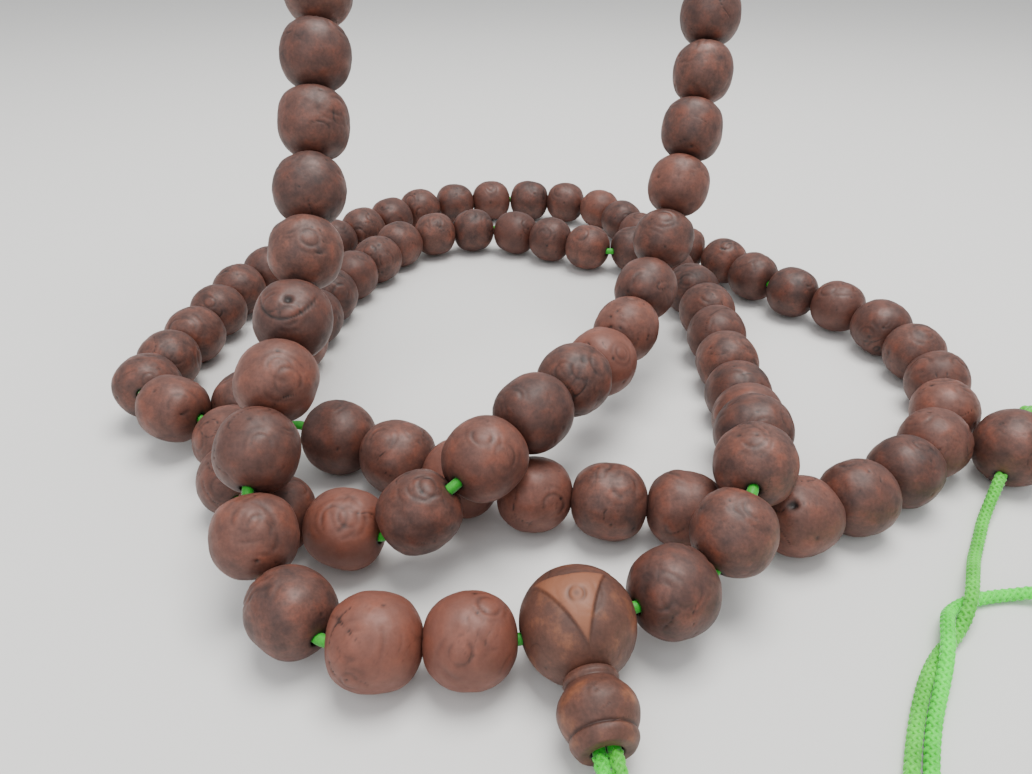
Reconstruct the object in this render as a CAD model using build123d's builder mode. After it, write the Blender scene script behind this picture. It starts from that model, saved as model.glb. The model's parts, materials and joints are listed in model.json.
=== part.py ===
"""A mala: 108 seed beads and a guru bead on one green cord, hanging over a rounded crown.

All sizes are in millimetres.  +Z is up.  The origin is the point where the crown carries
the strand: the underside of its highest bead.  The part lies on a level surface below it.
"""

import os
import random
from math import acos, cos, radians, tan

from build123d import *

# Heights
surface_height = -208  # the level surface that most of the strand lies on
lie = 9.5  # height of the cord above that surface inside a bead that lies on it
cord_lie = 1.5  # height of a loose cord's middle above that surface

# Cord
cord_radius = 1.2
lane_offset = 1.3  # the two passes of the cord through the guru bead lie this far off its axis
bend_reach = 3.1  # how far each side of a corner the cord starts to turn
guru_bend_radius = 2.0
free_bend_share = 0.45  # share of a free run that its bend takes

# Strand beads
bead_half_length = 8.75  # of a usual bead; each run's own follows from its length
bead_rise = 0.45  # how much more a bead's radius is than its half length
bead_rise_spread = 0.05
bead_gap = 0.3
open_end_gap = 1.0  # from a bead's face to the corner where bare cord begins
bore_radius = 1.6
mouth_radius = 2.4
mouth_depth = 1.3

# Guru bead and tower bead
guru_radius = 11.15
guru_half_length = 10.8
guru_bore_radius = 1.7
guru_seat = 10.3  # distance of the flat that the tower bead faces, from the guru's centre
tower_gap = 0.3
tower_bore_radius = 2.8
tower_axis = Vector(3.5, -23, -4).normalized()
# radius and distance from the tower's upper face, for its outline
tower_outline = [(4.9, 0), (5.2, 1.2), (5.0, 2.3), (7.25, 6.8), (5.95, 10.7), (6.05, 11.8), (4.9, 13.9)]

# Loose ends
tail_straight = 5  # how far each loose end leaves the tower straight
end_bead_radius = 9.6
end_bead_half_length = 9.2
knot_radius = 2.9
knot_length = 5.0
knot_round = 2.0
knot_gap = 0.3

# The strand's route: (x, y, height above the surface) of each corner of the cord, starting
# at the guru bead, and how many beads are threaded on the run that leads to the next corner.
route = [
    ((4, -203.5, 9.5), 2),
    ((-33, -204.5, 9.5), 1),
    ((-47, -191.5, 11.5), 1),
    ((-52, -179, 24.5), 3),
    ((-49, -130, 48), 2),
    ((-49.5, -103, 72), 3),
    ((-49, -73, 116.5), 3),
    ((-55.5, -49, 164), 2),
    ((-47, -30, 193.5), 2),
    ((-25, -10.5, 215), 2),
    ((9, 3, 218.5), 2),
    ((41, 5.5, 201), 2),
    ((60, -3.5, 171.5), 2),
    ((65.5, -16.5, 138.5), 3),
    ((61.5, -43, 92), 2),
    ((55, -62, 62), 2),
    ((45, -82.5, 34), 2),
    ((30.5, -113.5, 21.5), 2),
    ((13, -145, 28.5), 2),
    ((-10, -173.5, 22), 1),
    ((-25, -176.5, 10), 2),
    ((-60.5, -165, lie), 2),
    ((-74, -131, lie), 1),
    ((-69, -113, lie), 4),
    ((-62, -41, lie), 3),
    ((-41.5, 9.5, lie), 2),
    ((-6.5, 20.5, lie), 3),
    ((40.5, -6.5, lie), 1),
    ((60, -1.5, 10.5), 1),
    ((80, -6.5, lie), 2),
    ((96.5, -38, lie), 2),
    ((122, -63, lie), 2),
    ((129.5, -98.5, lie), 2),
    ((118, -132.5, lie), 2),
    ((92, -157, lie), 2),
    ((56, -172.5, lie), 0),
    ((51.5, -167, lie), 3),
    ((-1.5, -159, lie), 3),
    ((-56, -131.5, lie), 0),
    ((-63.5, -131, 4.2), 0),
    ((-70.5, -131, 2.2), 0),
    ((-77, -131.4, 5), 0),
    ((-79.5, -133, 11.5), 1),
    ((-98, -126.4, 14.2), 1),
    ((-103, -107.5, lie), 4),
    ((-96, -37, lie), 4),
    ((-58.5, 24.5, lie), 2),
    ((-36, 53, lie), 2),
    ((-0.5, 60.5, lie), 2),
    ((35.5, 54.5, lie), 1),
    ((46.5, 39.5, lie), 2),
    ((58.5, 5.5, lie), 0),
    ((60, -1.5, 6), 0),
    ((59.5, -16, lie), 2),
    ((69, -51.5, lie), 4),
    ((66, -124.5, lie), 2),
    ((58, -158, 23.5), 1),
    ((52.5, -176.5, 23.5), 1),
    ((43, -189.5, 12.5), 1),
    ((26, -198.5, 13), 0),
]

# Corners with bare cord between them and the last bead before them, and its length
free_travel = {35: 3, 38: 5}
# Corners where the beads stand apart to let another part of the strand cross, and how far
beads_apart = {29: 2.2}

# The two loose ends of the cord, from the tower's foot to the bead that each ends in:
# (x, y, height above the surface)
tail_a_route = [
    (19, -240, 2.5),
    (24, -255, cord_lie),
    (40, -265, cord_lie),
    (58, -261, cord_lie),
    (68, -246, cord_lie),
    (71, -231, cord_lie),
    (78, -216, cord_lie),
    (84.5, -206, 2.5),
    (87, -201, 5),
    (90, -194, 5),
    (93.5, -189, 2),
    (98, -186, cord_lie),
    (104, -184, cord_lie),
    (113, -183, cord_lie),
]
end_bead_a_place = (134, -186.5, 9.8)
tail_b_route = [
    (22, -237, 2.5),
    (28, -251, cord_lie),
    (41, -260, cord_lie),
    (55, -257, cord_lie),
    (64, -245, cord_lie),
    (67.5, -231, cord_lie),
    (74, -217.5, cord_lie),
    (81, -206, cord_lie),
    (87, -199, cord_lie),
    (93, -194.5, cord_lie),
    (97.5, -189, 5),
    (102, -180.5, 5),
    (106.5, -173.5, 2),
    (111, -167, cord_lie),
    (118.5, -155.5, cord_lie),
]
end_bead_b_place = (130.5, -141, 9.8)

random.seed(108)
os.makedirs("parts", exist_ok=True)


def point(place):
    """The place of a route point, measured from the origin."""
    return Vector(place[0], place[1], place[2] + surface_height)


def half_turn(before, after):
    """Half the angle between two directions, in radians."""
    return radians(before.get_angle(after)) / 2


def side_of(axis):
    """A direction square to an axis."""
    return axis.cross(Vector(0, 0, 1)).normalized()


def plain(place):
    """A place or direction as plain numbers."""
    return tuple(round(value, 5) for value in place)


def save(part, name):
    """Label a finished piece and write its STEP file."""
    part.label = name
    export_step(part, f"parts/{name}.step")


corners = [point(place) for place, count in route]
counts = [count for place, count in route]
run_count = len(corners) - 1
directions = [(corners[k + 1] - corners[k]).normalized() for k in range(run_count)]
guru_centre = (corners[0] + corners[-1]) * 0.5
guru_bore_axis = (corners[0] - corners[-1]).normalized()


def corner_half_turn(k):
    """Half the angle that the cord turns at corner k."""
    before = directions[k - 1] if k > 0 else guru_bore_axis
    after = directions[k] if k < run_count else guru_bore_axis
    return half_turn(before, after)


def bead_reach(half_length, lean):
    """How far the largest bead reaches from its middle, in a direction that leans from its bore.

    Up to some lean that is to the rim of its end face, and beyond it to its round side.
    """
    largest_radius = half_length + bead_rise + bead_rise_spread
    rim_lean = acos(half_length / largest_radius)
    return largest_radius * cos(max(rim_lean - lean, 0))


def setback(half_length, k, neighbour_count, travel):
    """Distance from corner k to the middle of the bead next to it.

    Two beads that meet at a corner touch off their axes, so they stand further back from it
    the more the cord turns.
    """
    if k + 1 in beads_apart:
        return half_length + beads_apart[k + 1]
    if neighbour_count == 0:
        return half_length + open_end_gap + travel
    turn = corner_half_turn(k)
    return (bead_reach(half_length, turn) + bead_gap / 2) / cos(turn)


def bead_places(k):
    """The half length of the beads on run k, and their middles, spread to fill the run."""
    length = (corners[k + 1] - corners[k]).length
    count_before = counts[k - 1] if k > 0 else 1
    count_after = counts[k + 1] if k + 1 < run_count else 1
    half_length = bead_half_length
    for _ in range(20):
        start = setback(half_length, k, count_before, 0)
        end = setback(half_length, k + 1, count_after, free_travel.get(k + 1, 0))
        used = start + end + (counts[k] - 1) * (2 * half_length + bead_gap)
        half_length -= (used - length) / (2 * counts[k])
    pitch = 2 * half_length + bead_gap
    return half_length, [corners[k] + directions[k] * (start + j * pitch) for j in range(counts[k])]


def bead_outline(middle, axis, radius, half_length, bore):
    """Half of a round bead's section, with flat ends, open at the bore and flared at its mouths."""
    across = side_of(axis)
    flare = mouth_radius - bore_radius
    with BuildSketch(Plane(origin=middle, x_dir=across, z_dir=across.cross(axis))) as outline:
        Circle(radius)
        with Locations((bore + radius, 0)):
            Rectangle(2 * radius, 2 * half_length, mode=Mode.INTERSECT)
        for end in (-1, 1):
            with BuildLine():
                Polyline(
                    (bore - flare, end * (half_length + mouth_depth)),
                    (bore + 2 * flare, end * (half_length + mouth_depth)),
                    (bore, end * (half_length - mouth_depth)),
                    (bore - flare, end * (half_length - mouth_depth)),
                    close=True,
                )
            make_face(mode=Mode.SUBTRACT)
    return outline.sketch


def cord(name, path_points, radii):
    """A round cord along straight runs joined by arcs."""
    with BuildPart() as tube:
        with BuildLine() as path:
            FilletPolyline(*path_points, radius=radii)
        with BuildSketch(Plane(origin=path_points[0], z_dir=path_points[1] - path_points[0])):
            Circle(cord_radius)
        sweep()
    save(tube.part, name)
    section = 3.14159 * cord_radius**2
    length = path.wire().length
    print(f"{name} length {length:.1f} volume/section {tube.part.volume / section:.1f} radii {min(radii):.1f}+")
    return length


# Strand beads: one node for each straight run
first = 1
for k in range(run_count):
    if counts[k] == 0:
        continue
    axis = directions[k]
    half_length, middles = bead_places(k)
    with BuildPart() as beads:
        for middle in middles:
            radius = half_length + bead_rise + random.uniform(-bead_rise_spread, bead_rise_spread)
            add(bead_outline(middle, axis, radius, half_length, bore_radius))
            revolve(axis=Axis(middle, axis))
    last = first + counts[k] - 1
    name = f"beads_{first:03d}" if counts[k] == 1 else f"beads_{first:03d}_{last:03d}"
    save(beads.part, name)
    print(f"{name} run {k + 1} axial {2 * half_length:.2f} axis {plain(axis)} from {plain(middles[0])}")
    first = last + 1

# Guru bead: bored through for the strand, with a third hole down to the tower bead
tower_top = guru_centre + tower_axis * (guru_seat + tower_gap)
tower_length = tower_outline[-1][1]
with BuildPart() as guru_bead:
    add(bead_outline(guru_centre, guru_bore_axis, guru_radius, guru_half_length, guru_bore_radius))
    revolve(axis=Axis(guru_centre, guru_bore_axis))
    with BuildSketch(Plane(origin=guru_centre, z_dir=tower_axis)):
        Circle(tower_bore_radius)
    extrude(amount=guru_radius, mode=Mode.SUBTRACT)
    split(bisect_by=Plane(origin=guru_centre + tower_axis * guru_seat, z_dir=-tower_axis))
save(guru_bead.part, "guru_bead")

# Tower bead: a turned bead with a collar at each end of its belly
across_tower = side_of(tower_axis)
with BuildPart() as tower_bead:
    with BuildSketch(Plane(origin=tower_top, x_dir=across_tower, z_dir=across_tower.cross(tower_axis))):
        with BuildLine():
            Spline(*tower_outline)
            Polyline(
                tower_outline[-1],
                (tower_bore_radius, tower_length),
                (tower_bore_radius, 0),
                tower_outline[0],
            )
        make_face()
    revolve(axis=Axis(tower_top, tower_axis))
save(tower_bead.part, "tower_bead")

# The cord inside the beads: up one lane of the tower, round the loop and down the other lane
lane_a = guru_centre + guru_bore_axis * lane_offset
lane_b = guru_centre - guru_bore_axis * lane_offset
lane_length = guru_seat + tower_gap + tower_length
exit_a = lane_a + tower_axis * lane_length
exit_b = lane_b + tower_axis * lane_length
loop_radii = [bend_reach / tan(corner_half_turn(k)) for k in range(len(corners))]
cord(
    "bead_string",
    [exit_a, lane_a, *corners, lane_b, exit_b],
    [guru_bend_radius, *loop_radii, guru_bend_radius],
)


def tail(name, exit_point, tail_route, bead_place):
    """One loose end of the cord, from the tower's foot through its end bead to its knot."""
    bead_middle = point(bead_place)
    points = [exit_point, exit_point + tower_axis * tail_straight]
    points += [point(place) for place in tail_route]
    bead_axis = (bead_middle - points[-1]).normalized()
    points.append(bead_middle + bead_axis * (end_bead_half_length + knot_gap))
    radii = []
    for before, corner, after in zip(points, points[1:], points[2:]):
        shorter = min((corner - before).length, (after - corner).length)
        radii.append(free_bend_share * shorter / tan(half_turn(corner - before, after - corner)))
    cord(name, points, radii)
    return bead_middle, bead_axis


ends = [
    tail("tail_cord_a", exit_a, tail_a_route, end_bead_a_place),
    tail("tail_cord_b", exit_b, tail_b_route, end_bead_b_place),
]

# End beads, each held on its cord by a knot
for letter, (middle, axis) in zip("ab", ends):
    with BuildPart() as end_bead:
        add(bead_outline(middle, axis, end_bead_radius, end_bead_half_length, bore_radius))
        revolve(axis=Axis(middle, axis))
    save(end_bead.part, f"end_bead_{letter}")

with BuildPart() as end_knots:
    for middle, axis in ends:
        knot_middle = middle + axis * (end_bead_half_length + knot_gap + knot_length / 2)
        across = side_of(axis)
        with BuildSketch(Plane(origin=knot_middle, x_dir=across, z_dir=across.cross(axis))) as knot:
            Rectangle(knot_radius, knot_length, align=(Align.MIN, Align.CENTER))
            fillet(knot.vertices().group_by(Axis(knot_middle, across))[-1], radius=knot_round)
        revolve(axis=Axis(knot_middle, axis))
save(end_knots.part, "end_knots")

print(f"tower at {plain(tower_top)} axis {plain(tower_axis)}")
for letter, (middle, axis) in zip("ab", ends):
    print(f"end_bead_{letter} at {plain(middle)} axis {plain(axis)}")
print(f"guru at {plain(guru_centre)} bore {plain(guru_bore_axis)} exits {plain(exit_a)} {plain(exit_b)}")
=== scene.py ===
"""The looks of the mala: worn seed beads, a carved guru bead and a neon green braided cord."""

import json
from math import cos, pi, radians, sin, tau

import bmesh
import bpy
import numpy as np
from mathutils import Matrix, Vector


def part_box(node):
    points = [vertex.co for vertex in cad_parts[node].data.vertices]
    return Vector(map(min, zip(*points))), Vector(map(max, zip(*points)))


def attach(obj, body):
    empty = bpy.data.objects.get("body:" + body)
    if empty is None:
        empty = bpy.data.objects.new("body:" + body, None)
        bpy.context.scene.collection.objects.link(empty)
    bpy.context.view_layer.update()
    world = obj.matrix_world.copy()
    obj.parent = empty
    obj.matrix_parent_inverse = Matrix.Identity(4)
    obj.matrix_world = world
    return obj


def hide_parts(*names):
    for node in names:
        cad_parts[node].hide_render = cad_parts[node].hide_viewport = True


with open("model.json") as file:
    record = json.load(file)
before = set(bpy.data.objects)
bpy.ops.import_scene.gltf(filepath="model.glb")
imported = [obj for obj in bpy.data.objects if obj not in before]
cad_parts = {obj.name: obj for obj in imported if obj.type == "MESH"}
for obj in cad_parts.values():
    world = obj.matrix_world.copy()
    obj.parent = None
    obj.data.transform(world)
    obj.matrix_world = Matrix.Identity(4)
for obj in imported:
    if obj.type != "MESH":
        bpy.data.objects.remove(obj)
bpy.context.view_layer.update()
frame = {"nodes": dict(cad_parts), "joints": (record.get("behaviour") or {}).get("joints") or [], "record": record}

# Sizes in metres, where they aren't read from the frame
MM = 0.001
CORD_RADIUS = 1.2 * MM
GURU_RADIUS = 11.15 * MM
GURU_HALF_LENGTH = 10.8 * MM
GURU_SEAT = 10.3 * MM
TOWER_GAP = 0.3 * MM
MOUTH_RADIUS = 1.45 * MM
BORE_RADIUS = 1.28 * MM
END_REACH = 0.3 * MM  # how far a bead stands towards its neighbour beyond its CAD solid
BRAID_PITCH = 6.5 * MM
BRAID_STRANDS = 8
BRAID_STEP = 0.33 * MM
BORE_DEPTH = 0.93  # how much of a bead's half length its bore's wall fills
BORE_RINGS = (0.94, 0.5, 0, -0.5, -0.94)
KNOT_MIDDLE = 2.8 * MM  # from the end bead's face
KNOT_HALF_STUB = 2.45 * MM
CORD_END_GAP = 0.3 * MM
CORD_TONE = (0.5, 0.0, 0.0, 1.0)

# Camera: where it stands from the guru bead, and how it looks at it
CAMERA_FROM_GURU = Vector((-0.012, -0.102, 0.11432))
CAMERA_PITCH = radians(31.32)
CAMERA_ROLL = radians(0.444)
CAMERA_LENS = 27.04
CAMERA_SENSOR = 36.0

record = frame["record"]
mounts = {mount["name"]: mount for mount in record["mounts"]}
joints = {joint["child"]: joint for joint in frame["joints"]}
surface = mounts["surface_rest"]["pos_m"][2]
bead_nodes = sorted(name for name in frame["nodes"] if name.startswith("beads_"))


def middle(node):
    """The middle of a node's box."""
    low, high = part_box(node)
    return (Vector(low) + Vector(high)) / 2


# The loose ends' routes from the tower's foot, in millimetres: across, along, above the surface
TAIL_STRAIGHT = 5
CORD_LIE = 1.5
TAIL_A_EXIT = (17.38, -225.156, 6.9)
TAIL_B_EXIT = (19.885, -224.586, 7.3)
TOWER_AXIS = Vector((3.5, -23, -4)).normalized()
TAIL_A_ROUTE = [
    (19, -240, 2.5),
    (24, -255, CORD_LIE),
    (40, -265, CORD_LIE),
    (58, -261, CORD_LIE),
    (68, -246, CORD_LIE),
    (71, -231, CORD_LIE),
    (78, -216, CORD_LIE),
    (84.5, -206, 2.5),
    (87, -201, 5),
    (90, -194, 5),
    (93.5, -189, 2),
    (98, -186, CORD_LIE),
    (104, -184, CORD_LIE),
    (113, -183, CORD_LIE),
]
TAIL_B_ROUTE = [
    (22, -237, 2.5),
    (28, -251, CORD_LIE),
    (41, -260, CORD_LIE),
    (55, -257, CORD_LIE),
    (64, -245, CORD_LIE),
    (67.5, -231, CORD_LIE),
    (74, -217.5, CORD_LIE),
    (81, -206, CORD_LIE),
    (87, -199, CORD_LIE),
    (93, -194.5, CORD_LIE),
    (97.5, -189, 5),
    (102, -180.5, 5),
    (106.5, -173.5, 2),
    (111, -167, CORD_LIE),
    (118.5, -155.5, CORD_LIE),
]

# The tower bead's outline from its upper face, in millimetres: radius and distance
TOWER_OUTLINE = [
    (3.0, 0.0),
    (4.6, 0.15),
    (5.15, 1.1),
    (4.95, 2.0),
    (5.35, 2.7),
    (6.8, 4.7),
    (7.3, 6.9),
    (6.85, 9.0),
    (6.15, 10.4),
    (5.85, 10.9),
    (6.1, 11.4),
    (5.9, 12.5),
    (4.9, 13.75),
    (3.1, 13.9),
]
TOWER_BORE_RADIUS = 2.75 * MM
TOWER_SPAN = 14 * MM
TOWER_RADIUS = 7 * MM
TOWER_EYE = (0.05, -0.25, 0.96)

# The guru bead's carved three-pointed face: its points and its round mark, as directions
GURU_POINTS = [(-0.75, 0.23, 0.62), (0.4, 0.29, 0.87), (0.09, -0.83, 0.55)]
GURU_MARK = (-0.08, -0.22, 0.97)
SCOOP_SPREAD = 7  # a larger number makes the face's sides straighter

# Strand beads with marks of their own: a hole with a seam, many pits, one black pit, warmer colours.
# The many pits of bead 52 have no model in the real strand.
HOLED_BEAD = 7
PITTED_BEADS = (36, 52)
BLACK_PIT_BEAD = 72
WARM_BEADS = (1, 2, 37, 42)


# Materials -----------------------------------------------------------------------------


def new_material(name):
    """An empty node material and its shader."""
    material = bpy.data.materials.new(name)
    material.use_nodes = True
    return material, material.node_tree, material.node_tree.nodes["Principled BSDF"]


def node(tree, kind, **values):
    """A new shader node with some of its inputs set."""
    made = tree.nodes.new(kind)
    for name, value in values.items():
        if name in made.inputs:
            made.inputs[name].default_value = value
        else:
            setattr(made, name, value)
    return made


def ramp(tree, factor, stops):
    """A colour ramp with the given (place, colour) stops."""
    made = tree.nodes.new("ShaderNodeValToRGB")
    elements = made.color_ramp.elements
    while len(elements) < len(stops):
        elements.new(0.5)
    for element, (place, colour) in zip(elements, stops):
        element.position = place
        element.color = (*colour, 1) if len(colour) == 3 else colour
    tree.links.new(factor, made.inputs["Fac"])
    return made


def mix(tree, factor, first, second, kind="MIX"):
    """Two colours mixed by a factor socket or number."""
    made = tree.nodes.new("ShaderNodeMix")
    made.data_type = "RGBA"
    made.blend_type = kind
    for place, value in ((0, factor), (6, first), (7, second)):
        socket = made.inputs[place]
        if isinstance(value, bpy.types.NodeSocket):
            tree.links.new(value, socket)
        elif isinstance(value, tuple):
            socket.default_value = (*value, 1)
        else:
            socket.default_value = value
    return made.outputs[2]


def bump(tree, height, strength, distance, below=None):
    """A bump node fed by a height socket, on top of another one's normal."""
    made = node(tree, "ShaderNodeBump", Strength=strength, Distance=distance)
    tree.links.new(height, made.inputs["Height"])
    if below is not None:
        tree.links.new(below, made.inputs["Normal"])
    return made.outputs["Normal"]


def seed_material(name, dark, base, red, rough_low, rough_high):
    """Handled seed: mottled red brown, darker in its grooves, with painted shade in its bores, their mouths and
    carved scoops, and a worn satin skin.
    """
    material, tree, shader = new_material(name)
    place = tree.nodes.new("ShaderNodeTexCoord").outputs["Object"]
    tone = node(tree, "ShaderNodeAttribute", attribute_name="tone")
    parts = tree.nodes.new("ShaderNodeSeparateColor")
    tree.links.new(tone.outputs["Color"], parts.inputs[0])
    cloud = node(tree, "ShaderNodeTexNoise", Scale=230, Detail=5, Roughness=0.62)
    fine = node(tree, "ShaderNodeTexNoise", Scale=1500, Detail=4, Roughness=0.6)
    cells = node(tree, "ShaderNodeTexVoronoi", Scale=900)
    for texture in (cloud, fine, cells):
        tree.links.new(place, texture.inputs["Vector"])
    mottle = ramp(tree, cloud.outputs["Fac"], [(0.3, dark), (0.52, base), (0.74, red)])
    speckle = ramp(tree, fine.outputs["Fac"], [(0.35, (0.55, 0.52, 0.5)), (0.6, (1, 1, 1))])
    tinted = mix(tree, 0.55, mottle.outputs["Color"], speckle.outputs["Color"], "MULTIPLY")
    reddened = mix(tree, parts.outputs["Blue"], tinted, red)
    bead_tone = ramp(tree, parts.outputs["Red"], [(0, (0.6, 0.6, 0.62)), (1, (1.35, 1.3, 1.25))])
    shaded = mix(tree, 1.0, reddened, bead_tone.outputs["Color"], "MULTIPLY")
    # The tone's green channel darkens grooves and pits, and paints shade into the bores, their mouths and the
    # guru's scoops.
    grooves_and_painted_shade = mix(tree, parts.outputs["Green"], shaded, (0.012, 0.007, 0.006))
    tree.links.new(grooves_and_painted_shade, shader.inputs["Base Color"])
    rough = ramp(tree, cloud.outputs["Fac"], [(0.3, (rough_high,) * 3), (0.7, (rough_low,) * 3)])
    tree.links.new(rough.outputs["Color"], shader.inputs["Roughness"])
    first = bump(tree, cloud.outputs["Fac"], 0.35, 0.25 * MM)
    second = bump(tree, fine.outputs["Fac"], 0.4, 0.06 * MM, first)
    third = bump(tree, cells.outputs["Distance"], 0.18, 0.05 * MM, second)
    tree.links.new(third, shader.inputs["Normal"])
    shader.inputs["Specular IOR Level"].default_value = 0.38
    shader.inputs["Coat Weight"].default_value = 0.06
    shader.inputs["Coat Roughness"].default_value = 0.45
    return material


def cord_material(name, light, dark):
    """Braided polyester: bright strands, a fine thread twist and a soft sheen."""
    material, tree, shader = new_material(name)
    place = tree.nodes.new("ShaderNodeTexCoord").outputs["Object"]
    threads = node(tree, "ShaderNodeTexNoise", Scale=2600, Detail=2, Roughness=0.5)
    patches = node(tree, "ShaderNodeTexNoise", Scale=160, Detail=3, Roughness=0.5)
    for texture in (threads, patches):
        tree.links.new(place, texture.inputs["Vector"])
    base = ramp(tree, patches.outputs["Fac"], [(0.35, dark), (0.6, light)])
    thread_tone = ramp(tree, threads.outputs["Fac"], [(0.35, (0.72, 0.76, 0.7)), (0.6, (1, 1, 1))])
    colour = mix(tree, 0.7, base.outputs["Color"], thread_tone.outputs["Color"], "MULTIPLY")
    tree.links.new(colour, shader.inputs["Base Color"])
    tree.links.new(bump(tree, threads.outputs["Fac"], 0.5, 0.08 * MM), shader.inputs["Normal"])
    shader.inputs["Roughness"].default_value = 0.5
    shader.inputs["Sheen Weight"].default_value = 0.35
    shader.inputs["Sheen Roughness"].default_value = 0.4
    shader.inputs["Specular IOR Level"].default_value = 0.35
    return material


def floor_material():
    """Pale, nearly even paper."""
    material, tree, shader = new_material("pale_floor")
    shader.inputs["Base Color"].default_value = (0.72, 0.715, 0.7, 1)
    shader.inputs["Roughness"].default_value = 0.85
    shader.inputs["Specular IOR Level"].default_value = 0.15
    return material


SEED = seed_material(
    "worn_seed", (0.05, 0.026, 0.023), (0.105, 0.044, 0.033), (0.19, 0.062, 0.04), 0.42, 0.62
)
GURU = seed_material(
    "carved_seed", (0.055, 0.026, 0.021), (0.105, 0.043, 0.031), (0.24, 0.09, 0.045), 0.45, 0.62
)
CORD_A = cord_material("green_cord", (0.055, 0.86, 0.045), (0.035, 0.62, 0.025))
# A darker copy of the green cord: painted shade for the cord between the beads, which lies in their shadow.
CORD_SHADED = cord_material("green_cord_painted_shade", (0.03, 0.42, 0.02), (0.02, 0.28, 0.015))
CORD_B = cord_material("green_cord_worn", (0.09, 0.66, 0.04), (0.06, 0.46, 0.025))


# Seed beads ----------------------------------------------------------------------------


def waves(generator, points, count, low, high):
    """Smooth random values over points on a unit sphere, about one in size."""
    total = np.zeros(len(points))
    for _ in range(count):
        way = generator.normal(size=3)
        way /= np.linalg.norm(way)
        total += np.cos(points @ way * generator.uniform(low, high) + generator.uniform(0, tau))
    return total / (count / 2) ** 0.5


def crease(values, width):
    """One along the lines where smooth values pass zero, and nothing elsewhere."""
    return np.exp(-((values / width) ** 2))


def eye_ring(generator, points, centre, radius):
    """The round scar of a seed: a broken ring groove round a low boss."""
    across = np.arccos(np.clip(points @ centre, -1, 1)) * radius / MM
    ring = generator.uniform(1.7, 2.9)
    wobble = 1 + 0.16 * waves(generator, points, 5, 3, 7)
    across = across * wobble
    groove = crease(across - ring, 0.38) + 0.55 * crease(across - 1.75 * ring, 0.42)
    broken = 0.55 + 0.45 * np.tanh(2 * waves(generator, points, 6, 6, 14))
    boss = crease(across, 0.75 * ring)
    return -0.2 * groove * broken + 0.09 * boss, groove * broken


def pit(points, centre, size, radius):
    """A round hollow on a unit sphere: one in its middle, fading out over a size in millimetres."""
    centre = np.array(centre) / np.linalg.norm(centre)
    across = np.arccos(np.clip(points @ centre, -1, 1)) * radius / MM
    return np.exp(-((across / size) ** 2))


def seed_shape(generator, points, radius, up, number=0):
    """How far each point of a bead stands off its plain shape, in metres, and how dark it is."""
    lift = 0.13 * waves(generator, points, 8, 1.6, 3.6) + 0.05 * waves(generator, points, 10, 5, 10)
    lift += 0.02 * waves(generator, points, 14, 14, 30)
    dark = np.zeros(len(points))
    for eye in range(generator.integers(2, 4)):
        lean = generator.normal(size=3) * (0.35 if eye == 0 else 1.1)
        centre = np.array(up) + lean
        centre /= np.linalg.norm(centre)
        ring_lift, ring_dark = eye_ring(generator, points, centre, radius)
        lift += ring_lift
        dark += 0.5 * np.clip(ring_dark, 0, 1)
    cracks = crease(waves(generator, points, 7, 3, 8), 0.045)
    where = np.clip(waves(generator, points, 5, 2, 5) - 0.35, 0, 1)
    lift -= 0.24 * cracks * where
    dark += 0.9 * cracks * where
    wrinkles = crease(waves(generator, points, 9, 9, 18), 0.09)
    where = np.clip(waves(generator, points, 5, 2, 6) - 0.2, 0, 1)
    lift -= 0.09 * wrinkles * where
    dark += 0.35 * wrinkles * where
    pits = 70 if number in PITTED_BEADS else generator.integers(4, 12)
    for _ in range(pits):
        size = generator.uniform(0.2, 0.45)
        hollow = pit(points, generator.normal(size=3), size, radius)
        lift -= 0.75 * size * hollow
        dark += hollow
    if number == BLACK_PIT_BEAD:
        hollow = pit(points, (-0.45, -0.5, 0.75), 1.0, radius)
        lift -= 0.9 * hollow
        dark += 1.5 * hollow
    if number == HOLED_BEAD:
        hollow = pit(points, (0.1, -0.55, 0.8), 1.0, radius)
        seam = crease(points[:, 2] - 0.42 - 0.5 * points[:, 0] ** 2, 0.03)
        seam = seam * np.clip(-4 * points[:, 1], 0, 1)
        lift -= 1.0 * hollow + 0.3 * seam
        dark += 1.5 * hollow + 0.9 * seam
    return lift * MM, np.clip(dark, 0, 1)


def ring_faces(rows, around):
    """The faces that join rings of points into one closed skin, the last ring to the first."""
    faces = []
    for row in range(rows):
        here, after = row * around, (row + 1) % rows * around
        for column in range(around):
            beside = (column + 1) % around
            faces.append((here + column, after + column, after + beside, here + beside))
    return faces


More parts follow.
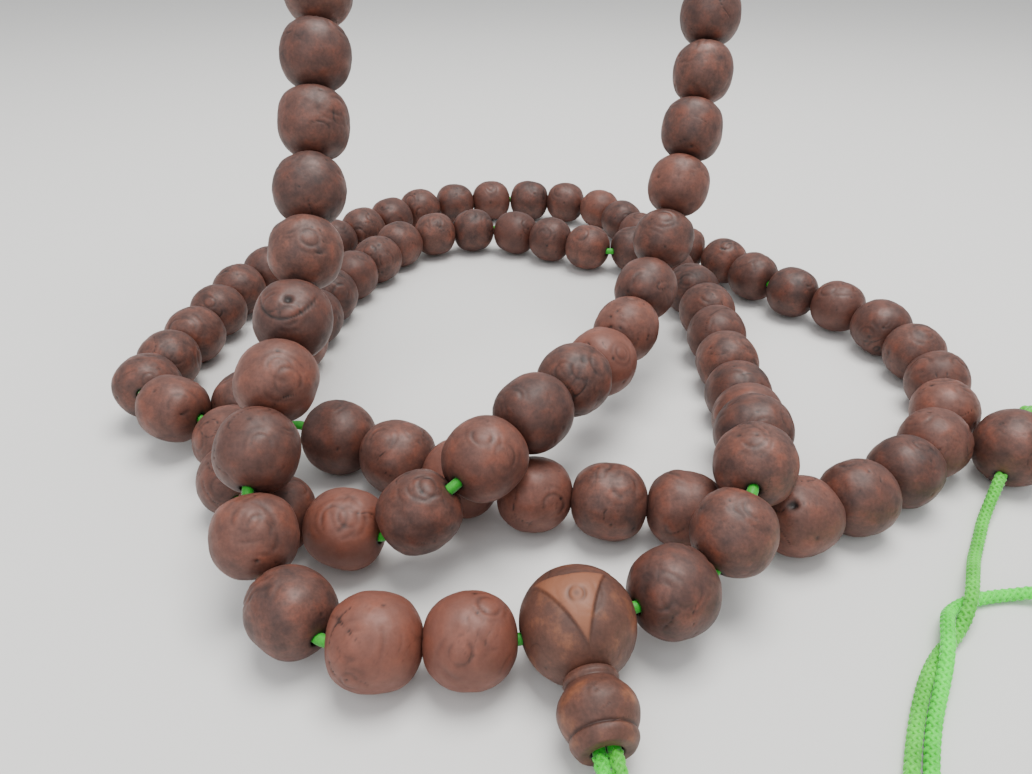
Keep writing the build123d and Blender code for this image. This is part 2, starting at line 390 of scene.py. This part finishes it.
def bead_mesh(
    generator,
    centre,
    axis,
    radius,
    half_length,
    up,
    squareness=2.2,
    tint=None,
    number=0,
    carve=None,
    around=112,
    along=72,
):
    """A bored seed bead's points, faces and tones, as a closed skin with its bore."""
    axis = np.array(axis)
    side = np.cross(axis, (0.3, 0.2, 1))
    side /= np.linalg.norm(side)
    other = np.cross(axis, side)
    first = np.arcsin(MOUTH_RADIUS / radius)
    turns = np.linspace(0, tau, around, endpoint=False)
    tilts = np.linspace(first, pi - first, along)
    tilt, turn = np.meshgrid(tilts, turns, indexing="ij")
    tilt, turn = tilt.ravel(), turn.ravel()
    rounding = np.abs(np.cos(tilt)) ** squareness + np.abs(np.sin(tilt)) ** squareness
    rounding = rounding ** (-1 / squareness)
    outward = np.cos(turn)[:, None] * side + np.sin(turn)[:, None] * other
    unit = np.cos(tilt)[:, None] * axis + np.sin(tilt)[:, None] * outward
    lift, dark = seed_shape(generator, unit, radius, up, number)
    warm = np.zeros(len(lift))
    if carve is not None:
        lift, dark, warm = carve(unit, lift, dark, radius)
    fade = np.clip((np.minimum(tilt, pi - tilt) - first - 0.1) / 0.45, 0, 1)
    lift = lift * fade * fade * (3 - 2 * fade)
    reach = half_length + END_REACH
    shell = (
        np.cos(tilt)[:, None] * axis * (reach * rounding)[:, None]
        + np.sin(tilt)[:, None] * outward * (radius * rounding)[:, None]
        + unit * lift[:, None]
    )
    # Painted shade: the skin darkens towards each bore's mouth, where the hole shades it.
    mouth_shade = np.exp(-((np.minimum(tilt, pi - tilt) - first) / 0.07) ** 2)
    dark = np.clip(dark + 0.8 * mouth_shade, 0, 1)
    spokes = np.cos(turns)[:, None] * side + np.sin(turns)[:, None] * other
    depth = half_length * BORE_DEPTH
    bore = [-axis * depth * place + spokes * BORE_RADIUS for place in BORE_RINGS]
    points = np.concatenate([shell, *bore]) + np.array(centre)
    # Painted shade: the bore's walls are painted fully dark.
    darkness_and_bore_shade = np.concatenate([dark, np.ones(around * len(BORE_RINGS))])
    faces = ring_faces(along + len(BORE_RINGS), around)
    tone = generator.uniform(0.2, 0.8) if tint is None else tint[0]
    redness = max(0.0, generator.normal(0.06, 0.12)) if tint is None else tint[1]
    warmth = np.full(len(points), min(redness, 0.6))
    warmth[: len(warm)] = np.clip(warmth[: len(warm)] + warm, 0, 1)
    tones = np.column_stack([np.full(len(points), tone), darkness_and_bore_shade, warmth, np.ones(len(points))])
    return points, faces, tones


def make_object(name, pieces, material):
    """One object from several (points, faces, tones) pieces."""
    start = 0
    points, faces, tones = [], [], []
    for piece_points, piece_faces, piece_tones in pieces:
        points.append(piece_points)
        faces += [tuple(index + start for index in face) for face in piece_faces]
        tones.append(piece_tones)
        start += len(piece_points)
    mesh = bpy.data.meshes.new(name)
    mesh.from_pydata(np.concatenate(points).tolist(), [], faces)
    colours = mesh.color_attributes.new("tone", "FLOAT_COLOR", "POINT")
    colours.data.foreach_set("color", np.concatenate(tones).astype(np.float32).ravel())
    for polygon in mesh.polygons:
        polygon.use_smooth = True
    mesh.materials.append(material)
    made = bpy.data.objects.new(name, mesh)
    bpy.context.collection.objects.link(made)
    return made


def solids_of(node_name):
    """The points of each separate solid in a node's mesh."""
    mesh = frame["nodes"][node_name].data
    work = bmesh.new()
    work.from_mesh(mesh)
    bmesh.ops.remove_doubles(work, verts=work.verts, dist=1e-6)
    seen, found = set(), []
    for vertex in work.verts:
        if vertex in seen:
            continue
        group, stack = [], [vertex]
        seen.add(vertex)
        while stack:
            current = stack.pop()
            group.append(current.co.copy())
            for edge in current.link_edges:
                beside = edge.other_vert(current)
                if beside not in seen:
                    seen.add(beside)
                    stack.append(beside)
        found.append(np.array([tuple(co) for co in group]))
    work.free()
    return found


def bead_facts(points, axis):
    """A bead's middle, radius and half length, from its points and its bore's direction."""
    axis = np.array(axis)
    along = points @ axis
    half_length = (along.max() - along.min()) / 2
    box_middle = (points.max(0) + points.min(0)) / 2
    centre = box_middle + axis * ((along.max() + along.min()) / 2 - box_middle @ axis)
    offset = points - centre
    away = np.linalg.norm(offset - np.outer(offset @ axis, axis), axis=1)
    return centre, away.max(), half_length


def bead_axis(body):
    """The bore's direction of a body's beads, from its joint."""
    return Vector(joints[body]["axis"]).normalized()


def strand_beads():
    """A detailed seed mesh for each bead of the strand, in one object for each node."""
    for name in bead_nodes:
        axis = bead_axis(name)
        first = int(name.split("_")[1])
        solids = sorted(solids_of(name), key=lambda points: points.mean(0) @ np.array(axis))
        pieces = []
        for place, points in enumerate(solids):
            number = first + place
            generator = np.random.default_rng(1000 + number)
            centre, radius, half_length = bead_facts(points, axis)
            up = np.array((generator.normal(0, 0.25), generator.normal(-0.35, 0.25), 1.0))
            squareness = generator.uniform(2.2, 2.5)
            tint = (0.65, 0.5) if number in WARM_BEADS else None
            pieces.append(
                bead_mesh(
                    generator,
                    centre,
                    axis,
                    radius,
                    half_length,
                    up,
                    squareness=squareness,
                    tint=tint,
                    number=number,
                )
            )
        made = make_object(name.replace("beads", "seeds"), pieces, SEED)
        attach(made, name)
        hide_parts(name)


def end_beads():
    """The two larger beads at the ends of the cord."""
    for number, letter in enumerate("ab"):
        name = f"end_bead_{letter}"
        axis = bead_axis(name)
        generator = np.random.default_rng(501 + number)
        centre, radius, half_length = bead_facts(solids_of(name)[0], axis)
        piece = bead_mesh(
            generator, centre, axis, radius, half_length, (0, -0.3, 1.0), tint=(0.45, 0.03)
        )
        made = make_object(f"end_seed_{letter}", [piece], SEED)
        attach(made, name)
        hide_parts(name)


def angle_from(points, centre):
    """The angle of each point on a unit sphere from a direction, in radians."""
    centre = np.array(centre, float)
    return np.arccos(np.clip(points @ (centre / np.linalg.norm(centre)), -1, 1))


def carve_guru(points, lift, dark, radius):
    """Three scoops that leave a raised three-pointed face, with a round mark on it."""
    mark = np.array(GURU_MARK)
    inside = np.ones(len(points))
    scooped = np.zeros(len(points))
    corners = [np.array(corner) / np.linalg.norm(corner) for corner in GURU_POINTS]
    for first, second in zip(corners, corners[1:] + corners[:1]):
        edge = (first + second) / np.linalg.norm(first + second)
        between = (first - second) / np.linalg.norm(first - second)
        away = edge - mark
        away = away - between * (away @ between)
        scoop = edge + SCOOP_SPREAD * away
        scoop /= np.linalg.norm(scoop)
        rim = np.arccos(scoop @ first)
        past = angle_from(points, scoop) - rim
        inside *= 0.5 + 0.5 * np.tanh(past / 0.025)
        step = np.clip(-past / 0.05, 0, 1)
        scooped = np.maximum(scooped, step * np.exp(np.minimum(past + 0.05, 0) / 0.35))
    near = np.clip(1.5 - angle_from(points, mark), 0, 1)
    across = angle_from(points, mark) * radius / MM
    ring = np.exp(-(((across - 1.5) / 0.4) ** 2)) * (0.6 + 0.4 * np.sin(21 * points[:, 0]))
    centre = np.exp(-((across / 0.6) ** 2))
    lift = 0.45 * lift - 0.55 * MM * scooped * near - 0.22 * MM * ring * inside
    shade = 0.4 * scooped * near * (1 - inside)
    dark = np.clip(0.5 * dark * (1 - 0.6 * inside) + shade + 0.55 * (ring + centre) * inside, 0, 1)
    return lift, dark, 0.75 * inside * near


def guru_bead():
    """The guru bead, larger than the rest, with its carved face."""
    first, last = (Vector(joints[name]["pos_m"]) for name in (bead_nodes[0], bead_nodes[-1]))
    bore = (first - last).normalized()
    tower_top = Vector(joints["tower_bead"]["pos_m"])
    centre = np.array(tower_top - bead_axis("tower_bead") * (GURU_SEAT + TOWER_GAP))
    generator = np.random.default_rng(108)
    piece = bead_mesh(
        generator,
        centre,
        bore,
        GURU_RADIUS,
        GURU_HALF_LENGTH,
        (0, -0.3, 1.0),
        squareness=2.08,
        tint=(0.5, 0.12),
        carve=carve_guru,
        around=256,
        along=176,
    )
    made = make_object("guru_seed", [piece], GURU)
    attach(made, "root")
    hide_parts("guru_bead")


def smooth_outline(outline, steps):
    """A smooth line through an outline's points."""
    line = np.array(outline, float)
    padded = np.vstack([2 * line[0] - line[1], line, 2 * line[-1] - line[-2]])
    part = np.linspace(0, 1, steps, endpoint=False)[:, None]
    found = []
    for before, start, end, after in zip(padded, padded[1:], padded[2:], padded[3:]):
        bend = 2 * start + (end - before) * part
        bend = bend + (2 * before - 5 * start + 4 * end - after) * part**2
        found.append((bend + (3 * start - before - 3 * end + after) * part**3) / 2)
    return np.vstack([*found, line[-1:]])


def tower_bead():
    """The turned bead below the guru bead: a collar, a round belly and a foot below a groove."""
    axis = np.array(bead_axis("tower_bead"))
    top = np.array(joints["tower_bead"]["pos_m"])
    side = np.cross(axis, (0, 0, 1.0))
    side /= np.linalg.norm(side)
    other = np.cross(axis, side)
    outline = smooth_outline(TOWER_OUTLINE, 8) * MM
    bore = [(TOWER_BORE_RADIUS, place * MM) for place in (13.5, 7.0, 0.4)]
    rows = np.vstack([outline, bore])
    around = 160
    turns = np.linspace(0, tau, around, endpoint=False)
    outward = np.cos(turns)[:, None] * side + np.sin(turns)[:, None] * other
    generator = np.random.default_rng(109)
    slopes = [pi * along / TOWER_SPAN for _, along in rows]
    units = np.vstack([outward * np.sin(slope) + axis * np.cos(slope) for slope in slopes])
    lift, dark = seed_shape(generator, units, TOWER_RADIUS, (0, -0.4, 0.9))
    ring_lift, ring_dark = eye_ring(generator, units, np.array(TOWER_EYE), TOWER_RADIUS)
    lift = (0.35 * lift + 0.6 * ring_lift * MM).reshape(len(rows), around)
    dark = np.clip(0.45 * dark + 0.5 * ring_dark, 0, 1).reshape(len(rows), around)
    places, darkness_and_bore_shade = [], []
    for row, (radius, along) in enumerate(rows):
        depth = along / MM
        groove = crease(depth - 10.9, 0.35) + 0.6 * crease(depth - 2.1, 0.4)
        on_skin = row < len(outline) and 0.5 < depth < 13.6
        reach = radius + (lift[row] if on_skin else 0) - (0.15 * MM * groove if on_skin else 0)
        places.append(top + axis * along + outward * np.reshape(reach * np.ones(around), (-1, 1)))
        # Painted shade: the bore's rows are painted fully dark.
        inner_bore_shade = 1.0 if row >= len(outline) else 0.0
        darkness_and_bore_shade.append(np.clip(dark[row] + 0.6 * groove * on_skin + inner_bore_shade, 0, 1))
    faces = [face[::-1] for face in ring_faces(len(rows), around)]
    darkness_and_bore_shade = np.concatenate(darkness_and_bore_shade)
    tones = np.column_stack(
        [np.full(len(darkness_and_bore_shade), 0.55), darkness_and_bore_shade, np.full(len(darkness_and_bore_shade), 0.05), np.ones(len(darkness_and_bore_shade))]
    )
    made = make_object("turned_tower", [(np.concatenate(places), faces, tones)], GURU)
    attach(made, "tower_bead")
    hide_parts("tower_bead")


strand_beads()
end_beads()
guru_bead()
tower_bead()

# The cord between the beads takes the darker copy of the green cord: painted shade.
frame["nodes"]["bead_string"].data.materials.clear()
frame["nodes"]["bead_string"].data.materials.append(CORD_SHADED)


# Loose cords ---------------------------------------------------------------------------


def surface_point(place):
    """A route point, in metres."""
    return Vector(place) * MM + Vector((0, 0, surface))


def spline_points(name, points):
    """The NURBS line through a route's points, as evenly read points."""
    curve = bpy.data.curves.new(name, "CURVE")
    curve.dimensions = "3D"
    curve.resolution_u = 24
    spline = curve.splines.new("NURBS")
    spline.points.add(len(points) - 1)
    for control, point in zip(spline.points, points):
        control.co = (*point, 1)
    spline.order_u = 3
    spline.use_endpoint_u = True
    holder = bpy.data.objects.new(name, curve)
    bpy.context.collection.objects.link(holder)
    bpy.context.view_layer.update()
    mesh = bpy.data.meshes.new_from_object(holder)
    line = np.array([tuple(vertex.co) for vertex in mesh.vertices])
    bpy.data.objects.remove(holder)
    bpy.data.curves.remove(curve)
    bpy.data.meshes.remove(mesh)
    return line


def even(line, step):
    """A line's points again, a fixed step apart, and its length."""
    steps = np.linalg.norm(np.diff(line, axis=0), axis=1)
    reached = np.concatenate([[0], np.cumsum(steps)])
    count = max(int(reached[-1] / step), 8)
    places = np.linspace(0, reached[-1], count)
    return np.column_stack([np.interp(places, reached, line[:, k]) for k in range(3)]), reached[-1]


def frames_along(line):
    """Two directions square to the line at each of its points, without twist."""
    ways = np.gradient(line, axis=0)
    ways /= np.linalg.norm(ways, axis=1)[:, None]
    side = np.cross(ways[0], (0, 0, 1.0))
    side /= np.linalg.norm(side)
    sides = [side]
    for way in ways[1:]:
        side = sides[-1] - way * (sides[-1] @ way)
        sides.append(side / np.linalg.norm(side))
    sides = np.array(sides)
    return ways, sides, np.cross(ways, sides)


def strand_tube(line, radius, sides=8):
    """A closed tube along a line."""
    ways, first, second = frames_along(line)
    turns = np.linspace(0, tau, sides, endpoint=False)
    rows = [line + radius * (cos(turn) * first + sin(turn) * second) for turn in turns]
    points = np.stack(rows, axis=1).reshape(-1, 3)
    faces = []
    for row in range(len(line) - 1):
        for column in range(sides):
            beside = (column + 1) % sides
            low = row * sides
            faces.append((low + column, low + beside, low + sides + beside, low + sides + column))
    faces.append(tuple(reversed(range(sides))))
    faces.append(tuple(range((len(line) - 1) * sides, len(line) * sides)))
    return points, faces


def toned(pieces):
    """Cord pieces with the one tone that all cord has."""
    return [(points, faces, np.tile(CORD_TONE, (len(points), 1))) for points, faces in pieces]


def braid(name, line, material):
    """A round braid along a line: strands that wind both ways and pass over and under."""
    fine, length = even(line, BRAID_STEP)
    _, first, second = frames_along(fine)
    along = np.linspace(0, length, len(fine))
    middle_radius = 0.78 * CORD_RADIUS
    strand_radius = 0.36 * CORD_RADIUS
    pieces = [strand_tube(fine, middle_radius, 16)]
    for strand in range(BRAID_STRANDS):
        hand = 1 if strand % 2 == 0 else -1
        start = tau * (strand // 2) / (BRAID_STRANDS / 2) + (0.3 if hand < 0 else 0)
        angle = start + hand * tau * along / BRAID_PITCH
        weave = np.cos(4 * angle + (0 if hand > 0 else pi))
        away = middle_radius + 0.1 * CORD_RADIUS * weave
        centre = fine + away[:, None] * (np.cos(angle)[:, None] * first + np.sin(angle)[:, None] * second)
        pieces.append(strand_tube(centre, strand_radius, 7))
    return make_object(name, toned(pieces), material), fine, length


def tied_knot(letter, centre, axis, material):
    """A small round knot pulled tight behind an end bead, filling its CAD solid."""
    axis = np.array(axis)
    side = np.cross(axis, (0, 0, 1.0))
    side /= np.linalg.norm(side)
    other = np.cross(axis, side)
    turn = np.linspace(0, tau, 160)
    across = (np.sin(turn) + 2 * np.sin(2 * turn)) / 3
    up = (np.cos(turn) - 2 * np.cos(2 * turn)) / 3
    along = -np.sin(3 * turn)
    line = np.array(centre) + 1.75 * MM * (across[:, None] * side + up[:, None] * other)
    line = line + 1.25 * MM * along[:, None] * axis
    pieces = [strand_tube(line, 1.05 * MM, 10)]
    stub = np.array(centre) + axis * np.linspace(-KNOT_HALF_STUB, KNOT_HALF_STUB, 24)[:, None]
    pieces.append(strand_tube(stub, 1.0 * MM, 12))
    made = make_object(f"end_knot_{letter}", toned(pieces), material)
    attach(made, "root")
    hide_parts("end_knots")
    return made


def loose_cord(letter, exit_place, route, material):
    """One loose end of the cord, from the tower's foot to the knot behind its end bead."""
    leave = surface_point(exit_place)
    points = [leave, leave + TOWER_AXIS * TAIL_STRAIGHT * MM]
    points += [surface_point(place) for place in route]
    bead = f"end_bead_{letter}"
    axis = bead_axis(bead)
    centre, _, half_length = bead_facts(solids_of(bead)[0], axis)
    points.append(Vector(centre) + axis * (half_length + CORD_END_GAP))
    line = spline_points(f"route_{letter}", points)
    made, path, length = braid(f"loose_cord_{letter}", line, material)
    knot_middle = centre + np.array(axis) * (half_length + KNOT_MIDDLE)
    knot = tied_knot(letter, knot_middle, axis, material)
    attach(made, "root")
    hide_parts(f"tail_cord_{letter}")


loose_cord("a", TAIL_A_EXIT, TAIL_A_ROUTE, CORD_A)
loose_cord("b", TAIL_B_EXIT, TAIL_B_ROUTE, CORD_B)


# Stage ---------------------------------------------------------------------------------


def plane(name, size, centre):
    """A flat square, facing up."""
    mesh = bpy.data.meshes.new(name)
    half = size / 2
    corners = [(-half, -half, 0), (half, -half, 0), (half, half, 0), (-half, half, 0)]
    mesh.from_pydata(corners, [], [(0, 1, 2, 3)])
    made = bpy.data.objects.new(name, mesh)
    made.location = centre
    bpy.context.collection.objects.link(made)
    return made


floor = plane("floor", 8, (0, 0, surface))
floor.data.materials.append(floor_material())


def area_light(name, place, target, size, power, colour):
    """A soft square light that faces a target."""
    light = bpy.data.lights.new(name, "AREA")
    light.shape = "SQUARE"
    light.size = size
    light.energy = power
    light.color = colour
    holder = bpy.data.objects.new(name, light)
    holder.location = place
    holder.rotation_euler = (Vector(target) - Vector(place)).to_track_quat("-Z", "Y").to_euler()
    bpy.context.collection.objects.link(holder)


strand_middle = Vector((0, -0.1, surface))
overhead = strand_middle + Vector((0.12, 0.08, 1.0))
front = strand_middle + Vector((-0.4, -1.0, 0.9))
area_light("overhead", overhead, strand_middle, 0.6, 14.5, (1.0, 0.985, 0.96))
area_light("front_fill", front, strand_middle, 1.2, 7.0, (0.95, 0.97, 1.0))

world = bpy.data.worlds.new("studio")
bpy.context.scene.world = world
world.use_nodes = True
background = world.node_tree.nodes["Background"]
background.inputs["Color"].default_value = (0.86, 0.87, 0.88, 1)
background.inputs["Strength"].default_value = 0.92

# Camera --------------------------------------------------------------------------------

guru_middle = middle("guru_bead")
camera_data = bpy.data.cameras.new("camera")
camera_data.lens = CAMERA_LENS
camera_data.sensor_width = CAMERA_SENSOR
camera_data.clip_start = 0.01
camera = bpy.data.objects.new("camera", camera_data)
look = Matrix.Rotation(pi / 2 - CAMERA_PITCH, 4, "X") @ Matrix.Rotation(CAMERA_ROLL, 4, "Z")
camera.matrix_world = Matrix.Translation(guru_middle + CAMERA_FROM_GURU) @ look
bpy.context.collection.objects.link(camera)
bpy.context.scene.camera = camera
